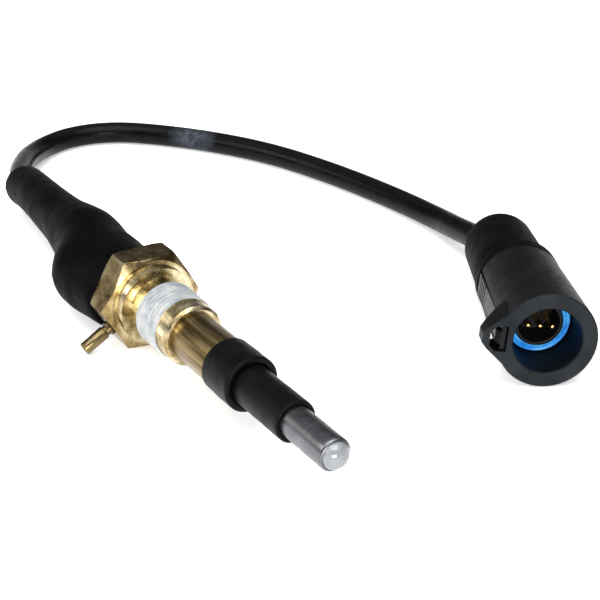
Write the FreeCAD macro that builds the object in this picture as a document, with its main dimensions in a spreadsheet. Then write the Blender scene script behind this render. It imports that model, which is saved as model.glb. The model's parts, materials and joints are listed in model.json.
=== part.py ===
import FreeCAD, Part
import Sketcher
import math
import os

# Optical flame sensor probe: a brass screw-in body with a stainless sight tube,
# a rubber boot, and a short lead that ends in a sealed three-pin connector.
#
# Frame, in millimetres: X runs along the probe towards the sensing tip, with
# x = 0 on the front face of the hexagon, and +Z is up. A flat of the hexagon
# lies on the surface at z = -12. The connector has a frame of its own: its
# mating face is at local x = 0 and its mouth looks along local +X.

V = FreeCAD.Vector
X_AXIS = V(1, 0, 0)
doc = FreeCAD.newDocument("FlameSensor")
sheet = doc.addObject("Spreadsheet::Sheet", "Sizes")

SIZES = {
    # Brass body
    "hex_flats": 24.0, "hex_length": 8.3, "hex_face_radius": 11.4,
    "hex_front_chamfer": 1.42, "hex_rear_chamfer": 0.6, "hex_rear_radius": 12.8,
    "collar_radius": 10.3, "collar_length": 3.0,
    "neck_radius": 7.9, "neck_end": 7.0,
    "thread_big_radius": 8.33, "thread_small_radius": 8.0, "thread_end": 17.3,
    "pilot_radius": 7.9, "pilot_end": 22.2, "pilot_chamfer": 0.7,
    "hub_radius": 9.2, "hub_length": 30.0, "barb_radius": 9.8,
    "barb_front": 22.5, "barb_peak": 24.5, "barb_rear": 27.0,
    "sheath_bore": 4.03, "purge_bore": 4.6, "purge_rear": 2.0,
    "shank_bore": 6.33, "shank_seat": 9.0,
    "chamber_radius": 7.2, "chamber_depth": 16.0, "body_margin": 1.0,
    # Tape on the thread
    "tape_start": 7.2, "tape_end": 17.2, "tape_gap": 0.02, "tape_thick": 0.2,
    # Narrow brass shank and the two black sleeves
    "shank_radius": 6.3, "shank_end": 41.5, "shank_chamfer": 0.5,
    "outer_sleeve_start": 38.4, "outer_sleeve_end": 50.0, "outer_sleeve_radius": 7.0,
    "outer_sleeve_round": 1.2, "outer_sleeve_rear_round": 0.5,
    "inner_sleeve_start": 42.0, "inner_sleeve_end": 69.0, "inner_sleeve_radius": 5.25,
    "inner_sleeve_round": 0.8, "sleeve_gap": 0.03,
    # Sight tube, window and detector
    "sheath_radius": 4.0, "sheath_inside": 3.3, "sheath_rear": 21.0, "sheath_end": 84.9,
    "sheath_round": 0.45,
    "lens_radius": 3.27, "lens_back": 81.2, "lens_front": 87.3, "lens_curve": 3.6,
    "gasket_centre": 80.65, "gasket_ring": 2.75, "gasket_section": 0.5,
    "can_radius": 2.35, "can_back": 71.6, "can_front": 75.4,
    "flange_radius": 2.7, "flange_back": 71.0,
    "holder_radius": 3.25, "holder_back": 67.0, "holder_front": 80.1,
    "holder_seat": 2.75, "holder_bore": 2.4, "holder_window": 2.15, "holder_step": 75.5,
    "core_circle": 1.3, "core_radius": 0.55, "core_rear": 33.5, "core_front": 62.0,
    "pin_lead_radius": 0.25, "splice_radius": 0.85, "splice_back": 59.5, "splice_length": 5.0,
    "liner_radius": 3.25, "liner_bore": 2.4, "liner_back": 2.0, "liner_front": 58.5,
    # Gland in the rear chamber
    "ring_seat": 15.05, "ring_centre": 4.95, "ring_section": 0.9,
    "washer_back": 17.5, "washer_front": 16.2, "gland_outside": 7.15, "gland_bore": 4.05,
    "nut_back": 24.5, "nut_front": 17.6, "nut_slot_width": 1.8, "nut_slot_depth": 1.5,
    "potting_back": 29.8, "potting_front": 24.7, "core_hole": 0.57,
    # Side nipple, square to the lower near flat of the hexagon
    "nipple_x": 4.0, "nipple_angle": 210.0, "nipple_root": 7.4, "nipple_neck": 1.4,
    "nipple_collar": 1.95, "nipple_collar_start": 12.02, "nipple_collar_end": 12.9,
    "nipple_step": 13.9, "nipple_radius": 1.73, "nipple_end": 20.8, "nipple_bore": 0.8,
    "nipple_chamfer": 0.3, "nipple_hole": 1.43,
    # Rubber boot
    "boot_front": 8.6, "boot_skirt": 12.0, "boot_bell_end": 30.0, "boot_bend": 45.0,
    "boot_tail_x": 96.0, "boot_tail_y": 5.2, "boot_tail_z": 2.5,
    "boot_hub_bore": 9.25, "boot_barb_bore": 9.85, "boot_hub_end": 30.4,
    "boot_funnel_end": 46.0, "boot_funnel_bore": 4.9,
    "crimp_front": 36.0, "crimp_back": 43.0, "crimp_radius": 4.4,
    # Lead
    "lead_radius": 3.5, "lead_gap": 0.03, "lead_inner_end": 33.6,
    # Connector, from its mating face backwards
    "face_x": 69.6, "face_y": 70.7, "yaw": -27.9, "pitch": 2.05, "roll": -5.6,
    "mouth_radius": 12.3, "mouth_chamfer": 0.5, "taper_end": 64.0, "taper_end_radius": 10.0,
    "socket_radius": 8.5, "socket_depth": 22.0, "housing_length": 38.0,
    "neck_start": 34.0, "neck_outside": 8.3, "rear_cavity": 6.2, "rear_cavity_start": 25.0,
    "hood_reach": 16.1, "hood_tip": 1.2, "hood_shoulder_y": 14.9, "hood_shoulder_z": 2.6,
    "hood_foot_y": 8.6, "hood_foot_z": 8.1, "hood_length": 7.5, "hood_flat": 4.2,
    "hood_ramp_y": 11.6, "slot_top": 14.3, "slot_top_z": 1.8, "slot_foot_z": 3.4,
    "channel_floor": 10.0, "channel_top": 12.7, "channel_half": 3.4, "channel_length": 34.0,
    "pad_floor": 7.2, "pad_start": 22.6, "pin_gap": 0.05,
    # Latch arm
    "arm_half": 2.9, "arm_front": 0.7, "arm_back": 33.3, "arm_inside": 10.35,
    "arm_outside": 11.45, "arm_rear_outside": 11.0, "arm_pad_inside": 8.4,
    "claw_top": 12.7, "claw_back": 4.0, "claw_front": 1.6, "claw_half": 1.6,
    "pivot_x": 24.5, "pivot_y": 9.3, "pivot_radius": 0.7, "pivot_half": 4.3,
    "grip_width": 0.7, "grip_pitch": 1.9,
    # Seal, insert, pins and grommet
    "seal_front": 12.0, "seal_back": 17.5, "seal_inside": 6.15, "seal_outside": 8.45,
    "seal_groove": 0.5, "seal_valley": 7.9,
    "insert_front": 10.5, "insert_floor": 19.0, "insert_back": 21.9, "insert_radius": 6.1,
    "insert_inside": 5.2, "insert_flange": 8.4, "insert_flange_front": 18.5,
    "contact_pitch": 3.05, "contact_radius": 0.75, "contact_tip": 8.6, "contact_root": 24.0,
    "contact_point": 0.35, "contact_hole": 0.78,
    "grommet_front": 28.0, "grommet_back": 35.0, "grommet_radius": 6.15,
    "tail_back": 50.0, "tail_radius": 0.7, "tail_hole": 0.73,
    # Rubber backshell
    "shell_front": 34.1, "shell_bore": 8.33, "shell_step": 38.4, "shell_cavity": 5.6,
    "shell_cavity_end": 54.0, "shell_ball": 58.5, "exit_x": -0.937, "exit_y": -0.311,
    "exit_z": -0.159,
}
ROUTE = [
    (-96.0, 5.2, -2.5), (-106.61, 7.39, -3.55), (-117.5, 12.6, -5.0), (-128.5, 19.0, -6.9),
    (-139.0, 28.8, -8.5), (-143.4, 41.0, -8.5), (-140.5, 54.8, -8.5), (-130.0, 66.6, -8.5),
    (-113.0, 80.0, -8.5), (-92.5, 91.0, -8.5), (-66.0, 98.6, -8.5), (-40.0, 103.2, -8.5),
    (-20.0, 104.3, -8.0), (-5.87, 101.686, -5.737), (7.984, 99.574, -3.446),
]


class Size:
    """A number of the sheet, together with the expression that reads it."""

    def __init__(self, value, text):
        self.value = value
        self.text = text

    def __add__(self, other):
        other = size(other)
        return Size(self.value + other.value, f"({self.text} + {other.text})")

    def __sub__(self, other):
        other = size(other)
        return Size(self.value - other.value, f"({self.text} - {other.text})")

    def __mul__(self, other):
        other = size(other)
        return Size(self.value * other.value, f"({self.text} * {other.text})")

    def __neg__(self):
        return Size(-self.value, f"(0 - {self.text})")


def size(key):
    """The Size for a name in the sheet, a plain number, or a Size itself."""
    if isinstance(key, Size):
        return key
    if isinstance(key, str):
        return Size(SIZES[key], "Sizes." + key)
    return Size(float(key), repr(float(key)))


def number(key):
    return size(key).value


def fill_sheet():
    for row, (name, value) in enumerate(SIZES.items(), start=1):
        sheet.set(f"A{row}", name)
        sheet.set(f"B{row}", repr(value))
        sheet.setAlias(f"B{row}", name)
    doc.recompute()


# ---------------------------------------------------------------- helpers

def bind(item, **properties):
    """Ties properties of an object to sizes of the sheet."""
    for name, value in properties.items():
        setattr(item, name, number(value))
        item.setExpression(name, size(value).text)
    return item


def new_body(name):
    body = doc.addObject("PartDesign::Body", name)
    body.Label = name
    return body


def outline(body, name, points, plane="XZ_Plane", offset=None):
    """A closed sketch of straight lines whose corners are held by the sheet."""
    sketch = body.newObject("Sketcher::SketchObject", name)
    support = [item for item in body.Origin.OriginFeatures if item.Role == plane][0]
    sketch.AttachmentSupport = (support, [""])
    sketch.MapMode = "FlatFace"
    if offset is not None:
        sketch.AttachmentOffset = offset
    corners = [(size(first), size(second)) for first, second in points]
    count = len(corners)
    for index, start in enumerate(corners):
        end = corners[(index + 1) % count]
        line = Part.LineSegment(V(start[0].value, start[1].value, 0),
                                V(end[0].value, end[1].value, 0))
        sketch.addGeometry(line, False)
    for index in range(count):
        joint = Sketcher.Constraint("Coincident", index, 2, (index + 1) % count, 1)
        sketch.addConstraint(joint)
    for index, corner in enumerate(corners):
        for kind, axis, place in (("DistanceX", -2, corner[0]), ("DistanceY", -1, corner[1])):
            if abs(place.value) < 1e-9:
                sketch.addConstraint(Sketcher.Constraint("PointOnObject", index, 1, axis))
            else:
                rule = Sketcher.Constraint(kind, -1, 1, index, 1, place.value)
                sketch.setExpression(f"Constraints[{sketch.addConstraint(rule)}]", place.text)
    return sketch


def revolve(body, name, points, kind="PartDesign::Revolution"):
    """Turns an outline of (x, radius) corners about the X axis, or grooves with it."""
    sketch = outline(body, name + "_outline", points)
    turn = body.newObject(kind, name)
    turn.Profile = sketch
    turn.ReferenceAxis = (sketch, ["H_Axis"])
    turn.Angle = 360.0
    doc.recompute()
    return turn


def turned(name, points):
    """A lathe-turned piece from one outline of (x, radius) corners."""
    body = new_body(name)
    revolve(body, name + "_turn", points)
    return body


def pocket(body, name, points, depth, plane, offset=None, both_ways=False, reverse=False):
    """Cuts an outline into the body and tests that it really removed material."""
    before = body.Shape.Volume
    sketch = outline(body, name + "_outline", points, plane, offset)
    cut = body.newObject("PartDesign::Pocket", name)
    cut.Profile = sketch
    bind(cut, Length=depth)
    cut.Midplane = both_ways
    cut.Reversed = reverse
    doc.recompute()
    assert body.Shape.Volume < before - 0.01, name + " cuts nothing"
    return cut


def round_pocket(body, name, centre, radius, depth, plane, offset=None,
                 both_ways=False, reverse=False):
    """The same for one round hole."""
    before = body.Shape.Volume
    sketch = body.newObject("Sketcher::SketchObject", name + "_outline")
    support = [item for item in body.Origin.OriginFeatures if item.Role == plane][0]
    sketch.AttachmentSupport = (support, [""])
    sketch.MapMode = "FlatFace"
    if offset is not None:
        sketch.AttachmentOffset = offset
    first, second = size(centre[0]), size(centre[1])
    circle = Part.Circle(V(first.value, second.value, 0), V(0, 0, 1), number(radius))
    sketch.addGeometry(circle, False)
    rule = Sketcher.Constraint("Radius", 0, number(radius))
    sketch.setExpression(f"Constraints[{sketch.addConstraint(rule)}]", size(radius).text)
    for kind, axis, place in (("DistanceX", -2, first), ("DistanceY", -1, second)):
        if abs(place.value) < 1e-9:
            sketch.addConstraint(Sketcher.Constraint("PointOnObject", 0, 3, axis))
        else:
            rule = Sketcher.Constraint(kind, -1, 1, 0, 3, place.value)
            sketch.setExpression(f"Constraints[{sketch.addConstraint(rule)}]", place.text)
    cut = body.newObject("PartDesign::Pocket", name)
    cut.Profile = sketch
    bind(cut, Length=depth)
    cut.Midplane = both_ways
    cut.Reversed = reverse
    doc.recompute()
    assert body.Shape.Volume < before - 0.01, name + " cuts nothing"
    return cut


def round_rims(body, name, radius, rims):
    """Rounds the circular edges at the given (x, radius) places."""
    found = []
    for index, edge in enumerate(body.Shape.Edges, start=1):
        if not isinstance(edge.Curve, Part.Circle):
            continue
        for x, rim in rims:
            same_place = abs(edge.Curve.Center.x - number(x)) < 1e-3
            if same_place and abs(edge.Curve.Radius - number(rim)) < 1e-3:
                found.append(f"Edge{index}")
    base = body.Tip
    fillet = body.newObject("PartDesign::Fillet", name)
    fillet.Base = (base, found)
    bind(fillet, Radius=radius)
    body.Tip = fillet
    doc.recompute()
    return fillet


def along_x(name, start, length, radius, y=0.0, z=0.0):
    """A Part::Cylinder whose axis is parallel to X."""
    rod = doc.addObject("Part::Cylinder", name)
    rod.Label = name
    bind(rod, Radius=radius, Height=length)
    turn = FreeCAD.Rotation(V(0, 1, 0), 90)
    rod.Placement = FreeCAD.Placement(V(number(start), y, z), turn)
    return rod


def boolean(kind, name, base, tool):
    item = doc.addObject(kind, name)
    item.Label = name
    item.Base = base
    item.Tool = tool
    return item


def shape_node(name, shape):
    """A piece whose outline is a loft or a sweep."""
    item = doc.addObject("Part::Feature", name)
    item.Label = name
    item.Shape = shape
    return item


def group(name, links):
    item = doc.addObject("Part::Compound", name)
    item.Label = name
    item.Links = links
    return item


def ring_outline(start, end, inside, outside):
    return [(start, inside), (start, outside), (end, outside), (end, inside)]


def circle_wire(centre, normal, radius):
    return Part.Wire([Part.makeCircle(radius, centre, normal)])


# ---------------------------------------------------------------- the brass body

def make_hex_body():
    body = new_body("hex_body")
    side = size("hex_flats") * 0.5
    corner = size("hex_flats") * (0.5 / math.cos(math.radians(30)))
    half = corner * 0.5
    hexagon = [(corner, 0), (half, side), (-half, side), (-corner, 0), (-half, -side),
               (half, -side)]
    sketch = outline(body, "hexagon", hexagon, "YZ_Plane")
    pad = body.newObject("PartDesign::Pad", "hexagon_pad")
    pad.Profile = sketch
    bind(pad, Length="hex_length")
    pad.Reversed = True
    doc.recompute()

    hub = -size("hub_length")
    spigot = size("pilot_end") - "pilot_chamfer"
    revolve(body, "turned_body", [
        (hub, 0), (hub, "hub_radius"), (-size("barb_rear"), "hub_radius"),
        (-size("barb_peak"), "barb_radius"), (-size("barb_front"), "hub_radius"),
        (0, "hub_radius"), (0, "collar_radius"), ("collar_length", "collar_radius"),
        ("collar_length", "neck_radius"), ("neck_end", "neck_radius"),
        ("neck_end", "thread_big_radius"), ("thread_end", "thread_small_radius"),
        ("thread_end", "pilot_radius"), (spigot, "pilot_radius"),
        ("pilot_end", size("pilot_radius") - "pilot_chamfer"), ("pilot_end", 0)])
    outside = corner + 1
    revolve(body, "front_chamfer", [
        (0, "hex_face_radius"), (-size("hex_front_chamfer"), corner),
        (-size("hex_front_chamfer"), outside), (0, outside)], "PartDesign::Groove")
    rear = -size("hex_length")
    revolve(body, "rear_chamfer", [
        (rear, "hex_rear_radius"), (rear + "hex_rear_chamfer", corner),
        (rear + "hex_rear_chamfer", outside), (rear, outside)], "PartDesign::Groove")
    back = hub - "body_margin"
    chamber = hub + "chamber_depth"
    front = size("pilot_end") + "body_margin"
    revolve(body, "stepped_bore", [
        (back, 0), (back, "chamber_radius"), (chamber, "chamber_radius"),
        (chamber, "sheath_bore"), (-size("purge_rear"), "sheath_bore"),
        (-size("purge_rear"), "purge_bore"), ("shank_seat", "purge_bore"),
        ("shank_seat", "shank_bore"), (front, "shank_bore"), (front, 0)], "PartDesign::Groove")
    facing = FreeCAD.Rotation(X_AXIS, number("nipple_angle") - 90)
    reach = facing.multVec(V(0, 0, number("hex_flats") / 2))
    seat = FreeCAD.Placement(reach, facing)
    round_pocket(body, "nipple_hole", (-size("nipple_x"), 0), "nipple_hole",
                 size("hex_flats") * 0.5 - "sheath_bore", "XY_Plane", seat)
    return body


def make_tape():
    slope = (number("thread_small_radius") - number("thread_big_radius"))
    slope /= number("thread_end") - number("neck_end")

    def thread_radius(place):
        return size("thread_big_radius") + (size(place) - "neck_end") * slope

    inner_start = thread_radius("tape_start") + "tape_gap"
    inner_end = thread_radius("tape_end") + "tape_gap"
    return turned("thread_seal_tape", [
        ("tape_start", inner_start), ("tape_start", inner_start + "tape_thick"),
        ("tape_end", inner_end + "tape_thick"), ("tape_end", inner_end)])


def make_nipple():
    end = size("nipple_end")
    tip = size("nipple_radius") - "nipple_chamfer"
    body = turned("purge_nipple", [
        ("nipple_root", "nipple_bore"), ("nipple_root", "nipple_neck"),
        ("nipple_collar_start", "nipple_neck"), ("nipple_collar_start", "nipple_collar"),
        ("nipple_collar_end", "nipple_collar"), ("nipple_collar_end", "nipple_neck"),
        ("nipple_step", "nipple_neck"), ("nipple_step", "nipple_radius"),
        (end - "nipple_chamfer", "nipple_radius"), (end, tip), (end, "nipple_bore")])
    outwards = FreeCAD.Rotation(X_AXIS, number("nipple_angle"))
    turn = outwards.multiply(FreeCAD.Rotation(V(0, 0, 1), 90))
    body.Placement = FreeCAD.Placement(V(-number("nipple_x"), 0, 0), turn)
    return body


# ---------------------------------------------------------------- the sight tube

def make_shank():
    end = size("shank_end")
    return turned("shank_tube", [
        ("shank_seat", "purge_bore"), ("shank_seat", "shank_radius"),
        (end - "shank_chamfer", "shank_radius"),
        (end, size("shank_radius") - "shank_chamfer"), (end, "purge_bore")])


def make_sleeves():
    over_shank = size("shank_radius") + "sleeve_gap"
    over_inner = size("inner_sleeve_radius") + "sleeve_gap"
    step = size("shank_end") + "sleeve_gap"
    outer = turned("outer_sleeve", [
        ("outer_sleeve_start", over_shank), ("outer_sleeve_start", "outer_sleeve_radius"),
        ("outer_sleeve_end", "outer_sleeve_radius"), ("outer_sleeve_end", over_inner),
        (step, over_inner), (step, over_shank)])
    round_rims(outer, "outer_front_round", "outer_sleeve_round",
               [("outer_sleeve_end", "outer_sleeve_radius")])
    round_rims(outer, "outer_rear_round", "outer_sleeve_rear_round",
               [("outer_sleeve_start", "outer_sleeve_radius")])
    inner = turned("inner_sleeve", ring_outline(
        "inner_sleeve_start", "inner_sleeve_end",
        size("sheath_radius") + "sleeve_gap", "inner_sleeve_radius"))
    round_rims(inner, "inner_front_round", "inner_sleeve_round",
               [("inner_sleeve_end", "inner_sleeve_radius")])
    return [outer, inner]


def make_sheath():
    tube = turned("sheath_tube", ring_outline(
        -size("sheath_rear"), "sheath_end", "sheath_inside", "sheath_radius"))
    round_rims(tube, "sheath_tip_round", "sheath_round", [("sheath_end", "sheath_radius")])
    return tube


def make_lens():
    blank = along_x("lens_blank", "lens_back", size("lens_front") - "lens_back", "lens_radius")
    ball = doc.addObject("Part::Sphere", "lens_ball")
    bind(ball, Radius="lens_curve")
    ball.Placement.Base = V(number("lens_front") - number("lens_curve"), 0, 0)
    return boolean("Part::Common", "lens", blank, ball)


def o_ring(name, place, centre, section):
    ring = doc.addObject("Part::Torus", name)
    ring.Label = name
    bind(ring, Radius1=centre, Radius2=section)
    turn = FreeCAD.Rotation(V(0, 1, 0), 90)
    ring.Placement = FreeCAD.Placement(V(number(place), 0, 0), turn)
    return ring


def make_detector():
    can = turned("diode_can", [
        ("flange_back", 0), ("flange_back", "flange_radius"), ("can_back", "flange_radius"),
        ("can_back", "can_radius"), ("can_front", "can_radius"), ("can_front", 0)])
    holder = turned("diode_holder", [
        ("holder_back", "holder_seat"), ("holder_back", "holder_radius"),
        ("holder_front", "holder_radius"), ("holder_front", "holder_window"),
        ("holder_step", "holder_window"), ("holder_step", "holder_bore"),
        ("can_back", "holder_bore"), ("can_back", "holder_seat")])
    liner = turned("wire_liner", ring_outline(
        "liner_back", "liner_front", "liner_bore", "liner_radius"))
    return [can, holder, liner]


def core_places():
    """Where the three cores run beside the axis, as (y, z)."""
    circle = number("core_circle")
    turns = [math.radians(90 + 120 * index) for index in range(3)]
    return [(circle * math.cos(turn), circle * math.sin(turn)) for turn in turns]


def make_cores():
    pieces = []
    leads = []
    splices = []
    for index, (y, z) in enumerate(core_places(), start=1):
        length = size("core_front") + "core_rear"
        pieces.append(along_x(f"core_wire_{index}", -size("core_rear"), length,
                              "core_radius", y, z))
        leads.append(along_x(f"lead_pin_{index}", "core_front",
                             size("flange_back") - "core_front", "pin_lead_radius", y, z))
        tube = along_x(f"splice_tube_{index}", "splice_back", "splice_length",
                       "splice_radius", y, z)
        hole = along_x(f"splice_hole_{index}", "splice_back", "splice_length",
                       "core_hole", y, z)
        splices.append(boolean("Part::Cut", f"splice_{index}", tube, hole))
    pieces.append(group("diode_leads", leads))
    pieces.append(group("splice_sleeves", splices))
    return pieces


def make_gland():
    washer = turned("gland_washer", ring_outline(
        -size("washer_back"), -size("washer_front"), "gland_bore", "gland_outside"))
    nut = turned("gland_nut", ring_outline(
        -size("nut_back"), -size("nut_front"), "gland_bore", "gland_outside"))
    half = size("nut_slot_width") * 0.5
    wide = size("gland_outside") + 1
    slot = [(-wide, -half), (wide, -half), (wide, half), (-wide, half)]
    face = FreeCAD.Placement(V(0, 0, -number("nut_back")), FreeCAD.Rotation())
    pocket(nut, "nut_slot", slot, "nut_slot_depth", "YZ_Plane", face, reverse=True)

    potting = turned("potting_plug", [
        (-size("potting_back"), 0), (-size("potting_back"), "gland_outside"),
        (-size("potting_front"), "gland_outside"), (-size("potting_front"), 0)])
    back = FreeCAD.Placement(V(0, 0, -number("potting_back")), FreeCAD.Rotation())
    first_y, first_z = core_places()[0]
    hole = round_pocket(potting, "core_hole", (first_y, first_z), "core_hole",
                        size("potting_back") - "potting_front", "YZ_Plane", back, reverse=True)
    pattern = potting.newObject("PartDesign::PolarPattern", "core_holes")
    pattern.Originals = [hole]
    axis = [item for item in potting.Origin.OriginFeatures if item.Role == "X_Axis"][0]
    pattern.Axis = (axis, [""])
    pattern.Angle = 360.0
    pattern.Occurrences = 3
    potting.Tip = pattern
    return [washer, nut, potting]


# ---------------------------------------------------------------- the rubber boot

def boot_tail():
    """End point, bend radius and bend plane of the boot's bent tail."""
    start = V(-number("boot_bend"), 0, 0)
    end = V(-number("boot_tail_x"), number("boot_tail_y"), -number("boot_tail_z"))
    run = start.x - end.x
    side = V(0, end.y, end.z)
    radius = (run ** 2 + side.Length ** 2) / (2 * side.Length)
    return start, radius, side.normalize(), math.asin(run / radius)


def boot_point(distance):
    """Centre and direction of the boot, a distance behind the hexagon's front."""
    start, radius, side, _ = boot_tail()
    past = distance - number("boot_bend")
    if past <= 0:
        return V(-distance, 0, 0), V(-1, 0, 0)
    turn = past / radius
    centre = start + V(-radius * math.sin(turn), 0, 0) + side * (radius * (1 - math.cos(turn)))
    return centre, V(-math.cos(turn), 0, 0) + side * math.sin(turn)


def boot_length():
    _, radius, _, angle = boot_tail()
    return number("boot_bend") + radius * angle


def boot_loft(stations):
    """A loft through circles, each a (distance, radius) of the boot's centre line."""
    wires = []
    for distance, radius in stations:
        centre, direction = boot_point(distance)
        wires.append(circle_wire(centre, direction, radius))
    return Part.makeLoft(wires, True, False)


def boot_sweep(start, end, radius):
    """A round bar along the boot's centre line."""
    spine = []
    straight_end = min(end, number("boot_bend"))
    if start < straight_end:
        spine.append(Part.LineSegment(boot_point(start)[0], boot_point(straight_end)[0]).toShape())
    if end > number("boot_bend"):
        first = max(start, number("boot_bend"))
        middle = (first + end) / 2
        arc = Part.Arc(boot_point(first)[0], boot_point(middle)[0], boot_point(end)[0])
        spine.append(arc.toShape())
    section = circle_wire(*boot_point(start), radius)
    return Part.Wire(spine).makePipeShell([section], True, False)


def make_boot():
    skirt = number("boot_skirt")
    front = number("boot_front")
    bell_end = number("boot_bell_end")
    length = boot_length()
    bell = Part.makeCylinder(skirt, bell_end - front, V(-front, 0, 0), V(-1, 0, 0))
    shoulder = boot_loft([(bell_end, skirt), (34.5, 11.5), (39.0, 10.3), (43.5, 9.4),
                          (48.5, 8.5), (54.0, 7.7)])
    tail = boot_loft([(54.0, 7.7), (62.0, 7.1), (72.0, 6.7), (84.0, 6.45), (length, 6.3)])
    outside = bell.fuse([shoulder, tail])

    hub_end = number("boot_hub_end")
    funnel_end = number("boot_funnel_end")
    hub = Part.makeCylinder(number("boot_hub_bore"), hub_end - front + 1,
                            V(1 - front, 0, 0), V(-1, 0, 0))
    barb_start = number("barb_front") - 0.3
    barb = Part.makeCylinder(number("boot_barb_bore"), number("barb_rear") - barb_start,
                             V(-barb_start, 0, 0), V(-1, 0, 0))
    funnel = Part.makeCone(number("boot_hub_bore"), number("boot_funnel_bore"),
                           funnel_end - hub_end, V(-hub_end, 0, 0), V(-1, 0, 0))
    bore = boot_sweep(funnel_end - 2, length + 2, number("lead_radius") + number("lead_gap"))
    inside = hub.fuse([barb, funnel, bore])
    return shape_node("rubber_boot", outside.cut(inside).removeSplitter())


def make_boot_lead():
    lead = boot_sweep(number("lead_inner_end"), boot_length(), number("lead_radius"))
    crimp = turned("lead_crimp", ring_outline(
        -size("crimp_back"), -size("crimp_front"),
        size("lead_radius") + "lead_gap", "crimp_radius"))
    return [shape_node("lead_in_boot", lead), crimp]


# ---------------------------------------------------------------- the lead

def make_lead():
    """Straight runs joined by the largest tangent arcs that the runs allow."""
    points = [V(*place) for place in ROUTE]
    edges = []
    here = points[0]
    radii = []
    for before, corner, after in zip(points, points[1:], points[2:]):
        back = (before - corner)
        ahead = (after - corner)
        shorter = min(back.Length, ahead.Length)
        back.normalize()
        ahead.normalize()
        reach = 0.45 * shorter
        half_turn = (math.pi - back.getAngle(ahead)) / 2
        radii.append(reach / math.tan(half_turn))
        start = corner + back * reach
        end = corner + ahead * reach
        inwards = (back + ahead).normalize()
        centre_gap = radii[-1] / math.cos(half_turn)
        middle = corner + inwards * (centre_gap - radii[-1])
        edges.append(Part.LineSegment(here, start).toShape())
        edges.append(Part.Arc(start, middle, end).toShape())
        here = end
    edges.append(Part.LineSegment(here, points[-1]).toShape())
    path = Part.Wire(edges)
    radius = number("lead_radius")
    section = circle_wire(points[0], points[1] - points[0], radius)
    tube = path.makePipeShell([section], True, False)
    expected = math.pi * radius ** 2 * path.Length
    print("lead arcs, radius in mm:", [round(value, 1) for value in radii])
    print("lead length", round(path.Length, 1), "volume ratio", round(tube.Volume / expected, 4))
    return shape_node("lead_cable", tube)


# ---------------------------------------------------------------- the connector

def connector_radius(distance):
    """Outside radius of the tapered connector, a distance behind its mating face."""
    slope = (number("taper_end_radius") - number("mouth_radius")) / number("taper_end")
    return size("mouth_radius") + size(distance) * slope


def connector_frame():
    turn = FreeCAD.Rotation(number("yaw"), -number("pitch"), number("roll"))
    lift = number("mouth_radius") * math.cos(math.radians(number("pitch")))
    height = lift - number("hex_flats") / 2
    return FreeCAD.Placement(V(number("face_x"), number("face_y"), height), turn)


def make_housing():
    body = new_body("connector_housing")
    neck = size("neck_start")
    chamfer = size("mouth_chamfer")
    revolve(body, "housing_turn", [
        (0, 0), (0, size("mouth_radius") - chamfer), (-chamfer, "mouth_radius"),
        (-neck, connector_radius("neck_start")), (-neck, "neck_outside"),
        (-size("housing_length"), "neck_outside"), (-size("housing_length"), 0)])
    hood = outline(body, "hood_outline", [
        (-size("hood_foot_y"), -size("hood_foot_z")),
        (-size("hood_shoulder_y"), -size("hood_shoulder_z")),
        (-size("hood_reach"), -size("hood_tip")), (-size("hood_reach"), "hood_tip"),
        (-size("hood_shoulder_y"), "hood_shoulder_z"), (-size("hood_foot_y"), "hood_foot_z"),
    ], "YZ_Plane")
    pad = body.newObject("PartDesign::Pad", "hood")
    pad.Profile = hood
    bind(pad, Length="hood_length")
    pad.Reversed = True
    doc.recompute()
    beyond = size("hood_reach") + 1
    ramp = [(-size("hood_flat"), -beyond), (-size("hood_flat"), -size("hood_reach")),
            (-size("hood_length") - 0.2, -size("hood_ramp_y")),
            (-size("hood_length") - 0.2, -beyond)]
    pocket(body, "hood_ramp", ramp, 30.0, "XY_Plane", both_ways=True)
    revolve(body, "socket", [
        (0, 0), (0, size("socket_radius") + 0.4), (-0.4, "socket_radius"),
        (-size("socket_depth"), "socket_radius"), (-size("socket_depth"), 0)],
        "PartDesign::Groove")
    back = size("housing_length") + 1
    revolve(body, "rear_cavity_bore", [
        (-back, 0), (-back, "rear_cavity"), (-size("rear_cavity_start"), "rear_cavity"),
        (-size("rear_cavity_start"), 0)], "PartDesign::Groove")
    channel = [(0, -size("channel_top")), (0, -size("channel_floor")),
               (-size("channel_length"), -size("channel_floor")),
               (-size("channel_length"), -size("channel_top"))]
    pocket(body, "latch_channel", channel, size("channel_half") * 2, "XY_Plane",
           both_ways=True)
    well = [(-size("pad_start"), -size("channel_top")), (-size("pad_start"), -size("pad_floor")),
            (-size("channel_length"), -size("pad_floor")),
            (-size("channel_length"), -size("channel_top"))]
    pocket(body, "thumb_well", well, size("channel_half") * 2, "XY_Plane", both_ways=True)
    slot = [(-size("channel_floor"), -size("channel_half")),
            (-size("channel_top"), -size("slot_foot_z")),
            (-size("slot_top"), -size("slot_top_z")), (-size("slot_top"), "slot_top_z"),
            (-size("channel_top"), "slot_foot_z"), (-size("channel_floor"), "channel_half")]
    pocket(body, "hood_slot", slot, "channel_length", "YZ_Plane")
    round_pocket(body, "pivot_holes", (-size("pivot_x"), -size("pivot_y")),
                 size("pivot_radius") + "pin_gap", (size("pivot_half") + 0.1) * 2,
                 "XY_Plane", both_ways=True)
    for index in range(3):
        place = (size("contact_pitch") * (index - 1), 0)
        face = FreeCAD.Placement(V(0, 0, -number("rear_cavity_start") - 0.5), FreeCAD.Rotation())
        round_pocket(body, f"contact_hole_{index + 1}", place, "contact_hole", 5.0,
                     "YZ_Plane", face, reverse=True)
    return body


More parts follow.
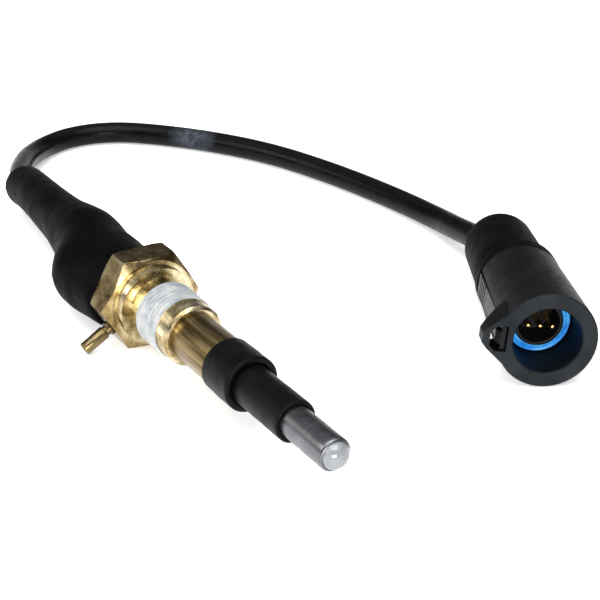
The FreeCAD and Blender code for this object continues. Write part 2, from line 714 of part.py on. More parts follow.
def make_latch():
    body = new_body("latch_arm")
    side = outline(body, "arm_outline", [
        (-size("arm_front"), -size("arm_inside")), (-size("arm_front"), -size("arm_outside")),
        (-size("claw_front"), -size("claw_top")), (-size("claw_back") + 1, -size("claw_top")),
        (-size("claw_back"), -size("arm_outside")),
        (-size("pad_start"), -size("arm_outside") + 0.3),
        (-size("arm_back"), -size("arm_rear_outside")), (-size("arm_back"), -size("arm_pad_inside")),
        (-size("pad_start") - 0.5, -size("arm_pad_inside")),
        (-size("pad_start") - 0.5, -size("arm_inside"))], "XY_Plane")
    pad = body.newObject("PartDesign::Pad", "arm")
    pad.Profile = side
    bind(pad, Length=size("arm_half") * 2)
    pad.Midplane = True
    doc.recompute()
    for name, near, far in (("claw_side_1", "claw_half", size("arm_half") + 1),
                            ("claw_side_2", -size("claw_half"), -size("arm_half") - 1)):
        side = [(-size("claw_top") - 1, near), (-size("claw_top") - 1, far),
                (-size("arm_outside"), far), (-size("arm_outside"), near)]
        pocket(body, name, side, size("claw_back") + 1, "YZ_Plane")
    sketch = body.newObject("Sketcher::SketchObject", "pivot_outline")
    support = [item for item in body.Origin.OriginFeatures if item.Role == "XY_Plane"][0]
    sketch.AttachmentSupport = (support, [""])
    sketch.MapMode = "FlatFace"
    centre = V(-number("pivot_x"), -number("pivot_y"), 0)
    sketch.addGeometry(Part.Circle(centre, V(0, 0, 1), number("pivot_radius")), False)
    rules = [(Sketcher.Constraint("Radius", 0, number("pivot_radius")), size("pivot_radius")),
             (Sketcher.Constraint("DistanceX", -1, 1, 0, 3, centre.x), -size("pivot_x")),
             (Sketcher.Constraint("DistanceY", -1, 1, 0, 3, centre.y), -size("pivot_y"))]
    for rule, place in rules:
        sketch.setExpression(f"Constraints[{sketch.addConstraint(rule)}]", place.text)
    pin = body.newObject("PartDesign::Pad", "pivot_pins")
    pin.Profile = sketch
    bind(pin, Length=size("pivot_half") * 2)
    pin.Midplane = True
    doc.recompute()
    for index in range(4):
        start = size("pad_start") + 2.2 + size("grip_pitch") * index
        groove = [(-start, -12.5), (-start, -size("arm_rear_outside") + 0.4),
                  (-start - "grip_width", -size("arm_rear_outside") + 0.4),
                  (-start - "grip_width", -12.5)]
        pocket(body, f"grip_groove_{index + 1}", groove, 20.0, "XY_Plane", both_ways=True)
    return body


def make_seal():
    front = -size("seal_front")
    back = -size("seal_back")
    groove = size("seal_groove")
    points = [(back, "seal_inside"), (back, "seal_outside"),
              (back + groove * 3, "seal_outside"), (back + groove * 4, "seal_valley"),
              (front - groove * 4, "seal_valley"), (front - groove * 3, "seal_outside"),
              (front - groove, "seal_outside"), (front, size("seal_outside") - groove),
              (front, "seal_inside")]
    return turned("interface_seal", points)


def make_insert():
    insert = turned("pin_insert", [
        (-size("insert_back"), 0), (-size("insert_back"), "insert_flange"),
        (-size("insert_flange_front"), "insert_flange"),
        (-size("insert_flange_front"), "insert_radius"),
        (-size("insert_front"), "insert_radius"), (-size("insert_front"), "insert_inside"),
        (-size("insert_floor"), "insert_inside"), (-size("insert_floor"), 0)])
    face = FreeCAD.Placement(V(0, 0, -number("insert_back")), FreeCAD.Rotation())
    for index in range(3):
        place = (size("contact_pitch") * (index - 1), 0)
        round_pocket(insert, f"insert_hole_{index + 1}", place, "contact_hole", 5.0,
                     "YZ_Plane", face, reverse=True)
    return insert


def make_contacts():
    pins = []
    tip = -size("contact_tip")
    for index in range(3):
        pin = turned(f"contact_pin_{index + 1}", [
            (-size("contact_root"), 0), (-size("contact_root"), "contact_radius"),
            (tip - 1, "contact_radius"), (tip, "contact_point"), (tip, 0)])
        pins.append((pin, number("contact_pitch") * (index - 1)))
    return pins


def make_grommet():
    grommet = turned("wire_grommet", [
        (-size("grommet_back"), 0), (-size("grommet_back"), "grommet_radius"),
        (-size("grommet_front"), "grommet_radius"), (-size("grommet_front"), 0)])
    face = FreeCAD.Placement(V(0, 0, -number("grommet_back")), FreeCAD.Rotation())
    for index in range(3):
        place = (size("contact_pitch") * (index - 1), 0)
        round_pocket(grommet, f"grommet_hole_{index + 1}", place, "tail_hole", 8.0,
                     "YZ_Plane", face, reverse=True)
    return grommet


def make_tail_wires():
    wires = []
    length = size("tail_back") - "contact_root" - 1.2
    for index in range(3):
        wires.append(along_x(f"tail_wire_{index + 1}", -size("tail_back"), length,
                             "tail_radius", number("contact_pitch") * (index - 1), 0.0))
    return group("tail_wires", wires)


def exit_direction():
    return V(number("exit_x"), number("exit_y"), number("exit_z")).normalize()


def make_backshell():
    """Tapered rubber cover whose ball end holds the lead at an angle."""
    front = number("shell_front")
    ball = number("shell_ball")
    front_radius = number(connector_radius("shell_front"))
    ball_radius = number(connector_radius("shell_ball"))
    cone = Part.makeCone(front_radius, ball_radius, ball - front, V(-front, 0, 0), V(-1, 0, 0))
    cap = Part.makeSphere(ball_radius, V(-ball, 0, 0))
    bore = Part.makeCylinder(number("shell_bore"), number("shell_step") - front + 1,
                             V(1 - front, 0, 0), V(-1, 0, 0))
    cavity_end = number("shell_cavity_end")
    step = number("shell_step")
    cavity = Part.makeCylinder(number("shell_cavity"), cavity_end - step + 0.5,
                               V(0.5 - step, 0, 0), V(-1, 0, 0))
    centre = V(-ball, 0, 0)
    way = exit_direction()
    passage = Part.makeCylinder(number("lead_radius") + number("lead_gap"), 20.0,
                                centre - way * (ball - cavity_end), way)
    return shape_node("backshell", cone.fuse(cap).cut(bore.fuse([cavity, passage])))


def make_backshell_lead():
    ball = V(-number("shell_ball"), 0, 0)
    way = exit_direction()
    inside = number("shell_ball") - number("shell_cavity_end")
    length = inside + number(connector_radius("shell_ball"))
    lead = Part.makeCylinder(number("lead_radius"), length, ball - way * inside, way)
    return shape_node("lead_in_backshell", lead)


def make_connector():
    place = connector_frame()
    parts = [make_housing(), make_latch(), make_seal(), make_insert(), make_grommet(),
             make_tail_wires(), make_backshell(), make_backshell_lead()]
    for item in parts:
        item.Placement = place
    for pin, y in make_contacts():
        pin.Placement = place.multiply(FreeCAD.Placement(V(0, y, 0), FreeCAD.Rotation()))
        parts.append(pin)
    pivot = place.multVec(V(-number("pivot_x"), -number("pivot_y"), 0))
    axis = place.Rotation.multVec(V(0, 0, 1))
    print("latch pivot", [round(value, 3) for value in pivot])
    print("latch axis", [round(value, 5) for value in axis])
    tail = place.multVec(V(-number("shell_ball"), 0, 0))
    way = place.Rotation.multVec(exit_direction())
    print("lead exit", tail + way * number(connector_radius("shell_ball")), "way", way)
    print("mouth axis", place.Rotation.multVec(X_AXIS), "face", place.Base)
    return parts


# ---------------------------------------------------------------- build, test, write

def build():
    fill_sheet()
    nodes = [make_hex_body(), make_tape(), make_nipple(), make_shank(), make_sheath(),
             make_lens()]
    nodes += make_sleeves()
    nodes.append(o_ring("lens_gasket", "gasket_centre", "gasket_ring", "gasket_section"))
    nodes.append(o_ring("sheath_o_ring", -size("ring_seat"), "ring_centre", "ring_section"))
    nodes += make_detector() + make_cores() + make_gland()
    nodes.append(make_boot())
    nodes += make_boot_lead()
    nodes.append(make_lead())
    nodes += make_connector()
    doc.recompute()
    for item in doc.Objects:
        bad = [state for state in item.State if state in ("Invalid", "Error")]
        assert not bad, f"{item.Label}: {bad}"
    os.makedirs("parts", exist_ok=True)
    for node in nodes:
        assert not node.Shape.isNull() and node.Shape.isValid(), node.Label
        assert node.Shape.Volume > 0, node.Label
    for node in nodes:
        node.Shape.exportStep(f"parts/{node.Label}.step")
    print(len(nodes), "sub-parts written")


build()
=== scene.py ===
import json
import math

import bmesh
import bpy
from mathutils import Matrix, Vector, noise


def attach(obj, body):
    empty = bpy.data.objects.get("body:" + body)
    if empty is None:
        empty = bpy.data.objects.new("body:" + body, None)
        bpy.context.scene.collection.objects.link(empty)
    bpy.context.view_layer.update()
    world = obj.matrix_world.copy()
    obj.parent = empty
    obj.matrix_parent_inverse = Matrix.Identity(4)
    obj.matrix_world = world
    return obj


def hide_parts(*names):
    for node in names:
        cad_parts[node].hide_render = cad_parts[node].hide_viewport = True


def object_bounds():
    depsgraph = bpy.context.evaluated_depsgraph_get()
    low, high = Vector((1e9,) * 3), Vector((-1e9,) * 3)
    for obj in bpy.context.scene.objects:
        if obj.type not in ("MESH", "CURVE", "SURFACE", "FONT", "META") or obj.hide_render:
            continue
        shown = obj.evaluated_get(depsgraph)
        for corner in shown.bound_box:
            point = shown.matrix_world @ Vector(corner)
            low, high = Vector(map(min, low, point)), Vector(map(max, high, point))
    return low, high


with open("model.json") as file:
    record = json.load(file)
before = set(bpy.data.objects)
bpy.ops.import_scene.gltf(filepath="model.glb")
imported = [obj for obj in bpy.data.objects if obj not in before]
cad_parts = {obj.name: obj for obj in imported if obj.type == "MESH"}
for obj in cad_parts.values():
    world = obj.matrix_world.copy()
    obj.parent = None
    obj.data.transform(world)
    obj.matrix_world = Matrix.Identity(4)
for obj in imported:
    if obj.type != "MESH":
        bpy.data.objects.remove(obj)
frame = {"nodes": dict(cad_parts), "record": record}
NODES = frame["nodes"]
CAD_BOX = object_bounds()
MM = 0.001
FLOOR = CAD_BOX[0].z

# ---------------------------------------------------------------- camera and lead

# Where the camera stands, in metres, and which way it looks from there: round, then down.
CAMERA_PLACE = Vector((0.30821, -0.14737, 0.16994))
CAMERA_AZIMUTH = math.radians(58.2)
CAMERA_ELEVATION = math.radians(26.5)
CAMERA_LENS = 90.0
CAMERA_SENSOR = 36.0

LEAD_DIAMETER = 7.0 * MM
LEAD_AROUND = 40
# The way of the lead's middle, in millimetres, from the boot's tail to the connector.
LEAD_ROUTE = [
    (-96.0, 5.2, -2.5), (-106.61, 7.39, -3.55), (-117.5, 12.6, -5.0), (-128.5, 19.0, -6.9),
    (-139.0, 28.8, -8.5), (-143.4, 41.0, -8.5), (-140.5, 54.8, -8.5), (-130.0, 66.6, -8.5),
    (-113.0, 80.0, -8.5), (-92.5, 91.0, -8.5), (-66.0, 98.6, -8.5), (-40.0, 103.2, -8.5),
    (-20.0, 104.3, -8.0), (-5.87, 101.686, -5.737), (7.984, 99.574, -3.446),
]

# The middle of a painted highlight on the top of the lead, a pale bluish glint, in metres. It
# fades out between two distances.
PAINTED_GLINT_SPOT = (-0.116, 0.0721, -0.0055)
PAINTED_GLINT_FULL = 2.5 * MM
PAINTED_GLINT_END = 9.5 * MM

# The connector's own frame: origin in the middle of its mating face, +X out of its mouth.
CONNECTOR = (Matrix.Translation(Vector((69.6, 70.7, 0.2921)) * MM)
             @ Matrix.Rotation(math.radians(-27.9), 4, "Z")
             @ Matrix.Rotation(math.radians(-2.05), 4, "Y")
             @ Matrix.Rotation(math.radians(-5.6), 4, "X"))
CONNECTOR_TURN = CONNECTOR.to_euler()
# Where its mating face lies along its own X axis, measured from the frame's origin.
CONNECTOR_FACE = (CONNECTOR.to_3x3().inverted() @ CONNECTOR.translation).x
PROBE = Matrix.Identity(4)


def add_camera():
    """The main camera, with a long lens and level from side to side."""
    camera = bpy.data.objects.new("camera", bpy.data.cameras.new("camera"))
    bpy.context.scene.collection.objects.link(camera)
    level = math.cos(CAMERA_ELEVATION)
    back = Vector((math.sin(CAMERA_AZIMUTH) * level, -math.cos(CAMERA_AZIMUTH) * level,
                   math.sin(CAMERA_ELEVATION)))
    camera.location = CAMERA_PLACE
    camera.rotation_mode = "QUATERNION"
    camera.rotation_quaternion = (-back).to_track_quat("-Z", "Y")
    camera.data.lens = CAMERA_LENS
    camera.data.sensor_width = CAMERA_SENSOR
    camera.data.clip_start = 0.01
    camera.data.clip_end = 20.0
    bpy.context.scene.camera = camera


def route_line():
    """Points of one smooth spline that has the lead's route as its control points."""
    curve = bpy.data.curves.new("route", "CURVE")
    curve.dimensions = "3D"
    spline = curve.splines.new("NURBS")
    spline.points.add(len(LEAD_ROUTE) - 1)
    for point, place in zip(spline.points, LEAD_ROUTE):
        point.co = (*(Vector(place) * MM), 1.0)
    spline.order_u = 3
    spline.use_endpoint_u = True
    spline.resolution_u = 16
    route = bpy.data.objects.new("route", curve)
    mesh = bpy.data.meshes.new_from_object(route)
    line = [vertex.co.copy() for vertex in mesh.vertices]
    bpy.data.meshes.remove(mesh)
    bpy.data.objects.remove(route)
    bpy.data.curves.remove(curve)
    return line


def add_lead(line):
    """The free lead: a round jacket along its line, with closed ends."""
    across = Vector((0, 0, 1))
    rings = []
    for index, centre in enumerate(line):
        way = (line[min(index + 1, len(line) - 1)] - line[max(index - 1, 0)]).normalized()
        across = (across - way * across.dot(way)).normalized()
        up = way.cross(across)
        ring = []
        for step in range(LEAD_AROUND):
            angle = 2 * math.pi * step / LEAD_AROUND
            ring.append(centre + (across * math.cos(angle) + up * math.sin(angle))
                        * LEAD_DIAMETER / 2)
        rings.append(ring)
    lead = add_mesh("lead", rings, "lead_jacket", capped=True)
    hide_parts("lead_cable")
    return lead


# ---------------------------------------------------------------- finishes

# Most values of a noise texture lie between these.
NOISE_LOW, NOISE_HIGH = 0.3, 0.7
# A wave texture of scale 1 has a band in each 2 pi / 20 units.
WAVE_BAND = 2 * math.pi / 20.0
# The brass is turned up to the first distance from the axis, and drawn stock beyond the second.
TURNED_REACH = 10.5 * MM
STOCK_REACH = 11.6 * MM
# How far behind the connector's front face the painted highlight on its rim goes.
RIM_LIGHT_DEPTH = 0.9 * MM


class Finish:
    """A procedural material built around one Principled shader.

    Its textures follow the frame's axes, or axes that are turned with the piece."""

    def __init__(self, name, fixed, turn=(0.0, 0.0, 0.0)):
        self.material = bpy.data.materials.new(name)
        self.material.use_nodes = True
        self.tree = self.material.node_tree
        self.shader = self.tree.nodes["Principled BSDF"]
        for socket, value in fixed.items():
            self.shader.inputs[socket].default_value = value
        place = self.tree.nodes.new("ShaderNodeTexCoord").outputs["Object"]
        untwist = self.tree.nodes.new("ShaderNodeMapping")
        untwist.vector_type = "TEXTURE"
        untwist.inputs["Rotation"].default_value = turn
        self.tree.links.new(place, untwist.inputs["Vector"])
        self.place = untwist.outputs["Vector"]
        self.relief = None

    def put(self, socket, value):
        """Sets a socket, or links another node's output to it."""
        if isinstance(value, bpy.types.NodeSocket):
            self.tree.links.new(value, socket)
        else:
            socket.default_value = value

    def stretched(self, factors):
        """The place with each axis scaled: below one draws a texture out along that axis."""
        node = self.tree.nodes.new("ShaderNodeMapping")
        node.inputs["Scale"].default_value = factors
        self.put(node.inputs["Vector"], self.place)
        return node.outputs["Vector"]

    def noise(self, scale, detail=4.0, roughness=0.55, along=None, twist=0.0):
        """Cloudy noise that may be drawn out along axes and twisted."""
        node = self.tree.nodes.new("ShaderNodeTexNoise")
        node.inputs["Scale"].default_value = scale
        node.inputs["Detail"].default_value = detail
        node.inputs["Roughness"].default_value = roughness
        node.inputs["Distortion"].default_value = twist
        self.put(node.inputs["Vector"], self.stretched(along) if along else self.place)
        return node.outputs["Fac"]

    def cells(self, scale):
        """Distance to the middle of the nearest cell, for a pebbled surface."""
        node = self.tree.nodes.new("ShaderNodeTexVoronoi")
        node.inputs["Scale"].default_value = scale
        self.put(node.inputs["Vector"], self.place)
        return node.outputs["Distance"]

    def rings(self, period, distortion):
        """Fine bands across the X axis, a period apart in metres."""
        node = self.tree.nodes.new("ShaderNodeTexWave")
        node.wave_type = "BANDS"
        node.bands_direction = "X"
        node.inputs["Scale"].default_value = WAVE_BAND / period
        node.inputs["Distortion"].default_value = distortion
        node.inputs["Detail"].default_value = 2.0
        self.put(node.inputs["Vector"], self.place)
        return node.outputs["Fac"]

    def reach(self):
        """Distance from the X axis, in metres."""
        node = self.tree.nodes.new("ShaderNodeVectorMath")
        node.operation = "LENGTH"
        self.put(node.inputs[0], self.stretched((0.0, 1.0, 1.0)))
        return node.outputs["Value"]

    def near(self, centre, inner, outer):
        """One within the inner distance of a point, fading to zero at the outer one."""
        node = self.tree.nodes.new("ShaderNodeVectorMath")
        node.operation = "DISTANCE"
        self.put(node.inputs[0], self.place)
        node.inputs[1].default_value = centre
        return self.span(node.outputs["Value"], inner, outer, 1.0, 0.0)

    def front(self, face, depth):
        """One on a face at this place along the X axis, fading to zero behind it."""
        parts = self.tree.nodes.new("ShaderNodeSeparateXYZ")
        self.put(parts.inputs["Vector"], self.place)
        return self.span(parts.outputs["X"], face - depth, face - 0.2 * depth, 0.0, 1.0)

    def edges(self, low, high):
        """One on worn convex edges, zero on the flat."""
        shape = self.tree.nodes.new("ShaderNodeNewGeometry")
        return self.span(shape.outputs["Pointiness"], low, high, 0.0, 1.0)

    def span(self, factor, low, high, new_low, new_high):
        """The factor's range from low to high, stretched to a new range and held there."""
        node = self.tree.nodes.new("ShaderNodeMapRange")
        self.put(node.inputs["Value"], factor)
        for key, value in (("From Min", low), ("From Max", high), ("To Min", new_low),
                           ("To Max", new_high)):
            node.inputs[key].default_value = value
        return node.outputs["Result"]

    def ramp(self, factor, stops):
        """A colour for each factor, from stops of (place, colour)."""
        node = self.tree.nodes.new("ShaderNodeValToRGB")
        entries = node.color_ramp.elements
        while len(entries) < len(stops):
            entries.new(0.5)
        for entry, (place, colour) in zip(entries, stops):
            entry.position = place
            entry.color = (*colour, 1.0)
        self.put(node.inputs["Fac"], factor)
        return node.outputs["Color"]

    def blend(self, factor, first, second, how="MIX"):
        """The first colour at a factor of zero, mixed with or multiplied by the second at one."""
        # Sockets 6 and 7 are the two colours, and output 2 is their blend.
        node = self.tree.nodes.new("ShaderNodeMix")
        node.data_type = "RGBA"
        node.blend_type = how
        self.put(node.inputs[0], factor)
        for socket, value in ((node.inputs[6], first), (node.inputs[7], second)):
            self.put(socket, (*value, 1.0) if isinstance(value, tuple) else value)
        return node.outputs[2]

    def colour(self, value):
        self.put(self.shader.inputs["Base Color"], value)

    def gloss(self, factor, low, high):
        """Roughness that follows a noise texture, from low to high."""
        roughness = self.span(factor, NOISE_LOW, NOISE_HIGH, low, high)
        self.put(self.shader.inputs["Roughness"], roughness)

    def bump(self, height, strength, depth):
        """Fine relief, laid over what is there already."""
        node = self.tree.nodes.new("ShaderNodeBump")
        node.inputs["Strength"].default_value = strength
        node.inputs["Distance"].default_value = depth
        self.put(node.inputs["Height"], height)
        if self.relief is not None:
            self.put(node.inputs["Normal"], self.relief)
        self.relief = node.outputs["Normal"]
        self.put(self.shader.inputs["Normal"], self.relief)


def brass_finish(name="brass_turned", share=1.0, worn=(0.59, 0.70)):
    """Turned brass, darker on bar stock left at its full width; a low share is duller."""
    def metal(red, green, blue):
        return (red * share, green * share, blue * share)

    f = Finish(name, {"Metallic": 1.0, "Specular IOR Level": 0.5})
    blotches = f.noise(170.0, 6.0, 0.62, twist=0.7)
    tarnish = f.ramp(blotches, [(0.34, metal(0.115, 0.078, 0.025)),
                                (0.45, metal(0.35, 0.268, 0.130)),
                                (0.57, metal(0.64, 0.545, 0.345)),
                                (0.72, metal(0.84, 0.765, 0.590))])
    streaks = f.span(f.noise(900.0, 3.0, 0.5, along=(0.08, 1.0, 1.0)), 0.35, 0.65, 0.0, 0.4)
    streaked = f.blend(streaks, tarnish, metal(0.50, 0.410, 0.230))
    bright = f.blend(f.edges(*worn), streaked, metal(0.88, 0.81, 0.64))
    drawn = f.blend(1.0, bright, (0.56, 0.50, 0.39), "MULTIPLY")
    stock = f.span(f.reach(), TURNED_REACH, STOCK_REACH, 0.0, 1.0)
    f.colour(f.blend(stock, bright, drawn))
    f.gloss(f.noise(420.0, 5.0, 0.6), 0.17, 0.33)
    f.bump(f.rings(0.35 * MM, 1.5), 0.10, 0.02 * MM)
    f.bump(f.noise(2600.0, 3.0, 0.6), 0.14, 0.03 * MM)
    return f.material


def shank_finish():
    """Drawn brass: streaks along the tube."""
    f = Finish("brass_drawn", {"Metallic": 1.0})
    streaks = f.noise(560.0, 4.0, 0.62, along=(0.045, 1.0, 1.0))
    base = f.ramp(streaks, [(0.34, (0.045, 0.029, 0.009)), (0.45, (0.115, 0.078, 0.028)),
                            (0.56, (0.215, 0.152, 0.068)), (0.70, (0.36, 0.275, 0.150))])
    f.colour(f.blend(f.edges(0.57, 0.68), base, (0.50, 0.40, 0.23)))
    f.gloss(f.noise(500.0, 4.0, 0.6, along=(0.15, 1.0, 1.0)), 0.24, 0.46)
    f.bump(streaks, 0.45, 0.07 * MM)
    f.bump(f.noise(3000.0, 2.0, 0.5), 0.10, 0.02 * MM)
    return f.material


def tape_finish():
    """Thin white tape, a little see-through and creased along its turns."""
    f = Finish("ptfe_tape", {"Subsurface Weight": 0.10, "Subsurface Scale": 0.3 * MM,
                             "Specular IOR Level": 0.4})
    cloud = f.noise(300.0, 5.0, 0.62, along=(1.0, 0.7, 0.7))
    f.colour(f.ramp(cloud, [(0.32, (0.175, 0.21, 0.24)), (0.47, (0.30, 0.325, 0.34)),
                            (0.62, (0.43, 0.435, 0.43))]))
    f.gloss(f.noise(700.0, 3.0), 0.30, 0.50)
    f.bump(f.noise(900.0, 5.0, 0.6, along=(1.0, 0.35, 0.35), twist=0.5), 0.55, 0.12 * MM)
    return f.material


def steel_finish(name, base):
    """Polished metal with fine lines round the tube."""
    f = Finish(name, {"Metallic": 1.0, "Anisotropic": 0.35})
    cloud = f.noise(240.0, 4.0, 0.55)
    lines = f.noise(2400.0, 3.0, 0.6, along=(1.0, 0.06, 0.06))
    dark = tuple(0.66 * part for part in base)
    f.colour(f.blend(f.span(cloud, 0.35, 0.65, 0.0, 1.0), dark, base))
    f.gloss(lines, 0.26, 0.42)
    f.bump(lines, 0.20, 0.02 * MM)
    return f.material


def rubber_finish(name, dark, light, gloss, grain=2600.0, shine=0.13, painted_glint=None):
    """Soft black rubber with scuffs, and a painted highlight, a pale bluish glint, round a point
    if one is given.
    """
    f = Finish(name, {"Specular IOR Level": shine})
    cloud = f.noise(110.0, 6.0, 0.6, twist=0.4)
    base = f.ramp(cloud, [(0.34, dark), (0.66, light)])
    scuffs = f.span(f.noise(700.0, 6.0, 0.7, along=(0.35, 1.0, 1.0)), 0.60, 0.78, 0.0, 0.5)
    scuffed = f.blend(scuffs, base, tuple(2.4 * part for part in light))
    if painted_glint is not None:
        # Painted highlight: a pale bluish glint, painted round the given point on the top of the
        # lead.
        pale = f.ramp(f.noise(420.0, 4.0, 0.6), [(0.36, (0.016, 0.0205, 0.026)),
                                                 (0.64, (0.066, 0.078, 0.094))])
        scuffed = f.blend(f.near(painted_glint, PAINTED_GLINT_FULL, PAINTED_GLINT_END), scuffed, pale)
    f.colour(scuffed)
    f.gloss(f.noise(300.0, 5.0, 0.6), *gloss)
    f.bump(f.noise(grain, 4.0, 0.6), 0.22, 0.05 * MM)
    f.bump(f.noise(340.0, 3.0, 0.5), 0.10, 0.15 * MM)
    return f.material


def plastic_finish(name, dark, light, gloss, turn=(0.0, 0.0, 0.0), shine=0.2, face=None):
    """Spark-eroded mould texture with small paler marks, and a painted highlight on the front
    face if given.
    """
    grain = 3200.0
    f = Finish(name, {"Specular IOR Level": shine}, turn)
    cloud = f.noise(90.0, 5.0, 0.55)
    base = f.ramp(cloud, [(0.34, dark), (0.68, light)])
    marks = f.span(f.noise(850.0, 6.0, 0.75, twist=0.8), 0.64, 0.80, 0.0, 0.4)
    marked = f.blend(marks, base, tuple(2.0 * part for part in light))
    if face is not None:
        # Painted highlight: the front face and rim are painted a paler grey, as if lit from in
        # front.
        painted_rim_light = f.ramp(cloud, [(0.34, (0.0095, 0.0112, 0.0128)),
                                (0.68, (0.0190, 0.0220, 0.0248))])
        marked = f.blend(f.front(face, RIM_LIGHT_DEPTH), marked, painted_rim_light)
    f.colour(marked)
    f.gloss(f.noise(420.0, 4.0, 0.6), *gloss)
    f.bump(f.cells(grain), 0.10, 0.03 * MM)
    f.bump(f.noise(grain * 0.8, 3.0, 0.6), 0.12, 0.04 * MM)
    return f.material


def seal_finish():
    """Blue silicone with a soft shine."""
    f = Finish("blue_silicone", {"Specular IOR Level": 0.6, "Subsurface Weight": 0.15,
                                 "Subsurface Scale": 0.5 * MM}, CONNECTOR_TURN)
    f.colour(f.ramp(f.noise(300.0, 4.0), [(0.30, (0.010, 0.20, 0.72)),
                                         (0.52, (0.030, 0.36, 0.95)),
                                         (0.74, (0.10, 0.50, 1.0))]))
    f.gloss(f.noise(520.0, 3.0), 0.20, 0.36)
    f.bump(f.noise(2200.0, 3.0), 0.10, 0.03 * MM)
    return f.material


def gold_finish():
    """Gold plate over turned pins."""
    f = Finish("gold_plate", {"Metallic": 1.0}, CONNECTOR_TURN)
    f.colour(f.ramp(f.noise(700.0, 4.0), [(0.30, (0.50, 0.29, 0.07)),
                                         (0.55, (0.80, 0.55, 0.20)),
                                         (0.75, (0.92, 0.72, 0.36))]))
    f.gloss(f.noise(900.0, 3.0), 0.14, 0.30)
    f.bump(f.rings(0.12 * MM, 1.0), 0.08, 0.01 * MM)
    return f.material


def glass_finish():
    """Fused glass, a little milky from its ground rear face."""
    f = Finish("window_glass", {"Transmission Weight": 0.72, "IOR": 1.52,
                                "Specular IOR Level": 0.8})
    f.colour(f.ramp(f.noise(500.0, 3.0), [(0.35, (0.52, 0.55, 0.59)),
                                         (0.65, (0.74, 0.77, 0.80))]))
    f.gloss(f.noise(900.0, 5.0), 0.03, 0.12)
    f.bump(f.noise(1500.0, 2.0), 0.02, 0.01 * MM)
    return f.material


def make_finishes():
    """One finish for each material slot of the record."""
    black = (0.0009, 0.0009, 0.0011)
    return {
        "brass": brass_finish(),
        "seal_tape": tape_finish(),
        "stainless": steel_finish("stainless", (0.165, 0.167, 0.178)),
        "window_glass": glass_finish(),
        "sleeve_black": rubber_finish("heat_shrink", black, (0.0045, 0.0047, 0.0055),
                                      (0.34, 0.52), shine=0.08),
        "o_ring_rubber": rubber_finish("o_ring_rubber", black, (0.010, 0.010, 0.011),
                                       (0.35, 0.5)),
        "holder_plastic": plastic_finish("holder_plastic", (0.010, 0.010, 0.011),
                                         (0.03, 0.03, 0.032), (0.4, 0.55)),
        "liner_plastic": plastic_finish("liner_plastic", (0.55, 0.52, 0.46),
                                        (0.72, 0.70, 0.64), (0.35, 0.5)),
        "core_insulation": plastic_finish("core_insulation", (0.30, 0.035, 0.020),
                                          (0.45, 0.07, 0.04), (0.35, 0.5)),
        "potting": rubber_finish("potting", (0.012, 0.012, 0.014), (0.028, 0.028, 0.032),
                                 (0.3, 0.5)),
        "crimp_metal": steel_finish("crimp_metal", (0.62, 0.62, 0.63)),
        "boot_rubber": rubber_finish("boot_rubber", black, (0.0032, 0.0033, 0.0037),
                                     (0.44, 0.62), shine=0.02),
        "lead_jacket": rubber_finish("lead_jacket", (0.0010, 0.0010, 0.0012),
                                     (0.0030, 0.0032, 0.0038), (0.22, 0.38), grain=1800.0,
                                     shine=0.09, painted_glint=PAINTED_GLINT_SPOT),
        "housing_plastic": plastic_finish("housing_plastic", (0.0022, 0.0023, 0.0027),
                                          (0.0062, 0.0066, 0.0076), (0.36, 0.52),
                                          CONNECTOR_TURN, shine=0.055, face=CONNECTOR_FACE),
        "latch_plastic": plastic_finish("latch_plastic", (0.0042, 0.0044, 0.0050),
                                        (0.0115, 0.0120, 0.0135), (0.34, 0.5),
                                        CONNECTOR_TURN, shine=0.10),
        "seal_blue": seal_finish(),
        "insert_plastic": plastic_finish("insert_plastic", (0.0030, 0.0030, 0.0035),
                                         (0.0080, 0.0080, 0.0090), (0.3, 0.46),
                                         CONNECTOR_TURN),
        "contact_gold": gold_finish(),
    }


# ---------------------------------------------------------------- mesh helpers

def smooth_blend(low, high, value):
    """Eases from 0 to 1 between two values."""
    share = min(1.0, max(0.0, (value - low) / (high - low)))
    return share * share * (3.0 - 2.0 * share)


def add_mesh(name, rings, slot, closed=False, capped=False, sharp=35.0):
    """Joins rings of points, in metres, with faces and makes them a piece of the probe."""
    shape = bmesh.new()
    loops = [[shape.verts.new(point) for point in ring] for ring in rings]
    around = len(rings[0])
    pairs = list(zip(loops, loops[1:]))
    if closed:
        pairs.append((loops[-1], loops[0]))
    for first, second in pairs:
        for index in range(around):
            after = (index + 1) % around
            shape.faces.new((first[index], first[after], second[after], second[index]))
    if capped:
        shape.faces.new(list(reversed(loops[0])))
        shape.faces.new(loops[-1])
    bmesh.ops.remove_doubles(shape, verts=shape.verts, dist=1e-7)
    bmesh.ops.recalc_face_normals(shape, faces=shape.faces)
    mesh = bpy.data.meshes.new(name)
    shape.to_mesh(mesh)
    shape.free()
    mesh.shade_smooth()
    mesh.set_sharp_from_angle(angle=math.radians(sharp))
    piece = bpy.data.objects.new(name, mesh)
    bpy.context.scene.collection.objects.link(piece)
    piece.data.materials.append(FINISHES[slot])
    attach(piece, "probe")
    return piece


def rounded(profile, radius, steps=4):
    """The corners of a closed (x, radius) outline, each replaced by a small arc."""
    result = []
    count = len(profile)
    for index, corner in enumerate(profile):
        here = Vector(corner)
        before = Vector(profile[index - 1])
        after = Vector(profile[(index + 1) % count])
        reach = min(radius, 0.45 * (before - here).length, 0.45 * (after - here).length)
        start = here + (before - here).normalized() * reach
        end = here + (after - here).normalized() * reach
        for step in range(steps + 1):
            share = step / steps
            first = start.lerp(here, share)
            second = here.lerp(end, share)
            result.append(tuple(first.lerp(second, share)))
    return result


def divided(profile, longest):
    """Adds points so that no side of a closed outline is longer than this."""
    result = []
    for index, corner in enumerate(profile):
        here = Vector(corner)
        after = Vector(profile[(index + 1) % len(profile)])
        parts = max(1, math.ceil((after - here).length / longest))
        result += [tuple(here.lerp(after, part / parts)) for part in range(parts)]
    return result


